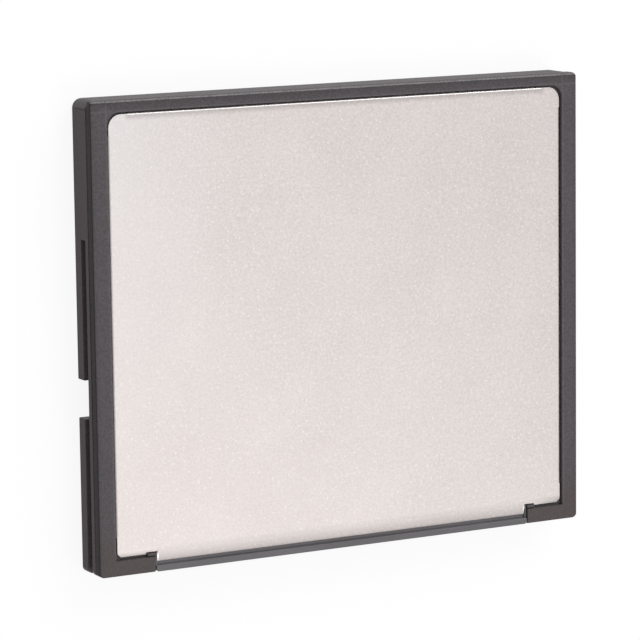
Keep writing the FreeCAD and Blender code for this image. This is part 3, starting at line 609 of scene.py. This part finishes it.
def blasted_steel():
    """The covers' bare steel: pale warm grey with a blasted grain, and painted shade and highlights along its
    edges.
    """
    s = Surface("blasted_steel", Metallic=1.0)
    across, along = abs(s.along("X")), s.along("Y")
    from_lip = PANEL_HIGH.y - along
    under = (PANEL_HIGH.z - MIDDLE) - abs(s.along("Z") - MIDDLE)
    cloud = s.noise(size=5.0)
    mottle = s.noise(size=0.24, roughness=0.65)
    grain = s.noise(size=0.13, roughness=0.7)
    tone = s.stretched(cloud * 0.10 + mottle * 0.35 + grain * 0.55, NOISE_CORE)
    colour = s.blend(tone, (0.488, 0.448, 0.435), (0.588, 0.546, 0.531))
    glints = s.falling(s.cells(size=0.48), GLINT_REACH)
    colour = s.blend(glints, colour, (0.620, 0.578, 0.562))

    # A cool sheen towards one corner at the lip end
    sheen = s.falling(s.along("X"), SHEEN_ACROSS) * s.rising(along, SHEEN_ALONG)
    colour = s.blend(sheen, colour, (0.632, 0.615, 0.630), share=0.35)

    # Painted shade in the hollow behind the lip's bend, and where the tab and the ends beside it fall away
    hollow_shade = s.rising(from_lip, HOLLOW_START).or_less(s.falling(from_lip, HOLLOW_BACK))
    in_tab = s.falling(across, TAB_EDGES)
    tab_fall_shade = s.falling(along, TAB_FALL_START) * in_tab
    end_fall_shade = s.falling(along, END_FALL_START) * (1 - in_tab)
    colour = s.tint(hollow_shade * s.falling(across, HOLLOW_SIDES), colour, 0.74)
    colour = s.tint(tab_fall_shade.or_more(end_fall_shade), colour, 0.80)

    # Painted highlights on the lip's bend and on the sheared edges of the lip corners and of the tab's sides,
    # which are also smoother
    bend = s.falling(from_lip, BEND_BACK) * s.falling(across, BEND_SIDES)
    at_corners = s.falling(from_lip, CORNERS_BACK)
    tab_sides = s.band(across, TAB_SHEARED_SIDES, TAB_SHEARED_SOFTNESS) * s.falling(along, TAB_SHEARED_START)
    sheared = s.rising(under, SHEARED_UNDER) * at_corners.or_more(tab_sides)
    highlight_and_polish = bend.or_more(sheared)
    s.set(Base_Color=s.blend(highlight_and_polish, colour, (0.92, 0.90, 0.88)))

    dullness = s.stretched(mottle * 0.4 + grain * 0.6, NOISE_BULK, (0.40, 0.52))
    polish = highlight_and_polish * 0.12
    s.set(Roughness=dullness - polish)
    s.set(Normal=s.bump(grain, depth=0.0035))
    return s.owner


def header_plastic():
    """The connector's plastic: dark grey with a slight sheen and the marks of its moulding flow."""
    s = Surface("header_plastic", Specular_IOR_Level=0.40)
    flow = s.noise(size=1.4, detail=3.0, roughness=0.6, stretch=(0.25, 1.0, 1.0))
    grain = s.noise(size=0.09, roughness=0.6)
    s.set(Base_Color=s.blend(s.stretched(flow, NOISE_BODY), (0.116, 0.110, 0.116), (0.144, 0.137, 0.144)))
    s.set(Roughness=s.stretched(flow * 0.5 + grain * 0.5, NOISE_BODY, (0.36, 0.48)))
    s.set(Normal=s.bump(grain, depth=0.0035))
    return s.owner


def plated_metal(name, low, high, roughness):
    """Plated metal with a soft change of tone and fine scratches along the strip that it was stamped from."""
    s = Surface(name, Metallic=1.0)
    cloud = s.noise(size=0.8)
    draw = s.noise(size=0.05, stretch=(1.0, 0.12, 1.0))
    s.set(Base_Color=s.blend(s.stretched(cloud, NOISE_BODY), low, high))
    s.set(Roughness=s.stretched(draw, NOISE_BULK, (roughness - 0.05, roughness + 0.07)))
    s.set(Normal=s.bump(draw, depth=0.0012))
    return s.owner


def green_laminate():
    """The board: green resist over faint traces, and tiny plated holes."""
    s = Surface("green_laminate", Coat_Weight=0.4, Coat_Roughness=0.15, Roughness=0.42)
    settings = {"wave_type": "BANDS", "bands_direction": "DIAGONAL"}
    waves = {"Vector": s.place, "Scale": 260.0, "Distortion": 5.0, "Detail": 1.0, "Detail Scale": 0.6}
    trace = s.rising(s.node("TexWave", settings, waves, "Fac"), (0.62, 0.70))
    hole = s.falling(s.cells(size=2.3), (0.10, 0.13))
    green = s.blend(trace, (0.012, 0.085, 0.035), (0.020, 0.150, 0.062))
    s.set(Base_Color=s.blend(hole, green, (0.60, 0.46, 0.20)))
    s.set(Metallic=hole)
    s.set(Normal=s.bump(trace, depth=0.015))
    return s.owner


def amber_film():
    """The insulating film: amber and glossy, with slow ripples."""
    s = Surface("amber_film", Coat_Weight=0.5, Coat_Roughness=0.08)
    ripple = s.noise(size=6.0)
    s.set(Base_Color=s.blend(s.stretched(ripple, NOISE_BULK), (0.42, 0.17, 0.02), (0.62, 0.30, 0.05)))
    s.set(Roughness=s.stretched(ripple, NOISE_BULK, (0.18, 0.30)))
    s.set(Normal=s.bump(ripple, depth=0.05))
    return s.owner


def dull_block(name, low, high, size, roughness, depth):
    """A moulded or fired block: two close tones in a grain about size millimetres across."""
    s = Surface(name)
    grain = s.noise(size, detail=3.0, roughness=0.6)
    s.set(Base_Color=s.blend(s.stretched(grain, NOISE_BODY), low, high))
    s.set(Roughness=s.stretched(grain, NOISE_BULK, (roughness - 0.06, roughness + 0.06)))
    s.set(Normal=s.bump(grain, depth))
    return s.owner


MATERIALS = {
    "frame_plastic": charcoal_moulding(),
    "cover_steel": blasted_steel(),
    "header_plastic": header_plastic(),
    "contact_metal": plated_metal("gold_plate", (0.80, 0.55, 0.22), (0.88, 0.66, 0.32), roughness=0.24),
    "board_laminate": green_laminate(),
    "film": amber_film(),
    "chip_plastic": dull_block("chip_moulding", (0.016, 0.016, 0.017), (0.030, 0.030, 0.031),
                               size=0.12, roughness=0.58, depth=0.006),
    "lead_metal": plated_metal("tin_plate", (0.60, 0.60, 0.58), (0.72, 0.72, 0.70), roughness=0.34),
    "crystal_ceramic": dull_block("dark_ceramic", (0.10, 0.085, 0.08), (0.15, 0.13, 0.12),
                                  size=0.20, roughness=0.45, depth=0.003),
    "crystal_metal": plated_metal("pale_plate", (0.66, 0.62, 0.50), (0.76, 0.72, 0.62), roughness=0.28),
    "tantalum_plastic": dull_block("ochre_moulding", (0.52, 0.27, 0.04), (0.66, 0.37, 0.06),
                                   size=0.25, roughness=0.50, depth=0.004),
    "capacitor_ceramic": dull_block("tan_ceramic", (0.36, 0.25, 0.16), (0.46, 0.34, 0.23),
                                    size=0.15, roughness=0.40, depth=0.002),
    "resistor_ceramic": dull_block("dark_glaze", (0.012, 0.012, 0.014), (0.028, 0.028, 0.032),
                                   size=0.15, roughness=0.30, depth=0.002),
}


# Studio

def rays_that_see_white(finish):
    """1 for rays from the camera and off metal and glass, which see white surroundings, and 0 for others."""
    seen = finish.node("LightPath", output="Is Camera Ray")
    for name in ("Is Glossy Ray", "Is Transmission Ray"):
        seen = seen.or_more(finish.node("LightPath", output=name))
    return seen


def studio_sky():
    """The surroundings: white where they are seen, and dimmer as a light."""
    world = bpy.data.worlds.new("studio_sky")
    bpy.context.scene.world = world
    finish = Finish(world)
    finish.tree.nodes.clear()
    strength = rays_that_see_white(finish) * (1 - SKY_LIGHT) + SKY_LIGHT
    finish.end_in("OutputWorld", finish.node("Background", None, {"Color": WHITE, "Strength": strength}))


def studio_floor():
    """The pale floor that the card lies on. It keeps the card's shadow."""
    bpy.ops.object.select_all(action="DESELECT")
    bpy.ops.mesh.primitive_plane_add(size=2 * FLOOR_HALF, location=(0, 0, -FLOOR_DROP))
    floor = bpy.context.object
    floor.name = "floor"
    finish = Finish(bpy.data.materials.new("pale_floor"))
    finish.tree.nodes.clear()
    seen = rays_that_see_white(finish)
    level = seen * (FLOOR_WHITE - FLOOR_BOUNCE) + FLOOR_BOUNCE
    shade = finish.node("CombineColor", None, {"Red": level, "Green": level, "Blue": level})
    lit = finish.node("BsdfDiffuse", None, {"Color": shade})
    glow = finish.node("Emission", None, {"Color": WHITE, "Strength": FLOOR_GLOW_LIGHT})
    finish.end_in("OutputMaterial", finish.node("MixShader", None, {0: seen * FLOOR_GLOW, 1: lit, 2: glow}))
    floor.data.materials.append(finish.owner)


def softbox(name, place, size):
    """A soft lamp at place that faces the card."""
    lamp = bpy.data.lights.new(name, "AREA")
    lamp.shape = "RECTANGLE"
    lamp.size, lamp.size_y = size
    lamp.energy = LAMP_LIGHT * pi * size[0] * size[1]
    holder = bpy.data.objects.new(name, lamp)
    holder.location = place
    holder.rotation_euler = (-Vector(place)).to_track_quat("-Z", "Y").to_euler()
    holder.visible_camera = False
    bpy.context.scene.collection.objects.link(holder)


def camera():
    """Puts the camera at the photograph's viewing angle."""
    reach = cos(CAMERA_HEIGHT_ANGLE)
    back = Vector((reach * cos(CAMERA_TURN), reach * sin(CAMERA_TURN), sin(CAMERA_HEIGHT_ANGLE)))
    plain_right = Vector((0, 1, 0)).cross(back).normalized()
    plain_up = back.cross(plain_right)
    right = plain_right * cos(CAMERA_ROLL) + plain_up * sin(CAMERA_ROLL)
    up = plain_up * cos(CAMERA_ROLL) - plain_right * sin(CAMERA_ROLL)
    data = bpy.data.cameras.new("camera")
    data.lens = LENS
    data.sensor_width = SENSOR
    data.clip_start = NEAREST_SEEN
    data.clip_end = FARTHEST_SEEN
    holder = bpy.data.objects.new("camera", data)
    turn = Matrix((right, up, back)).transposed().to_4x4()
    holder.matrix_world = Matrix.Translation(AIM + back * CAMERA_DISTANCE) @ turn
    bpy.context.scene.collection.objects.link(holder)
    bpy.context.scene.camera = holder


# The card in its studio

def dress_node(node, slot):
    """Gives a CAD node its finish."""
    mesh = frame["nodes"][node].data
    if not mesh.materials:
        mesh.materials.append(MATERIALS[slot])
    for i in range(len(mesh.materials)):
        mesh.materials[i] = MATERIALS[slot]


for part in frame["record"]["subparts"]:
    dress_node(part["node"], part["material_slot"])

pieces = [
    frame_moulding(),
    pressed_cover("upper_steel_cover", "shown_panel", PANEL_HIGH.z),
    pressed_cover("lower_steel_cover", "hidden_panel", UNDER_LOW.z),
    header_moulding(),
]
for piece in pieces:
    piece.data.materials.clear()
    piece.data.materials.append(MATERIALS[piece["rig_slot"]])
    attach(piece, "root")

studio_sky()
studio_floor()
softbox("key", KEY_PLACE, KEY_SIZE)
softbox("overhead", OVERHEAD_PLACE, OVERHEAD_SIZE)
camera()
bpy.context.scene.view_settings.view_transform = "Standard"
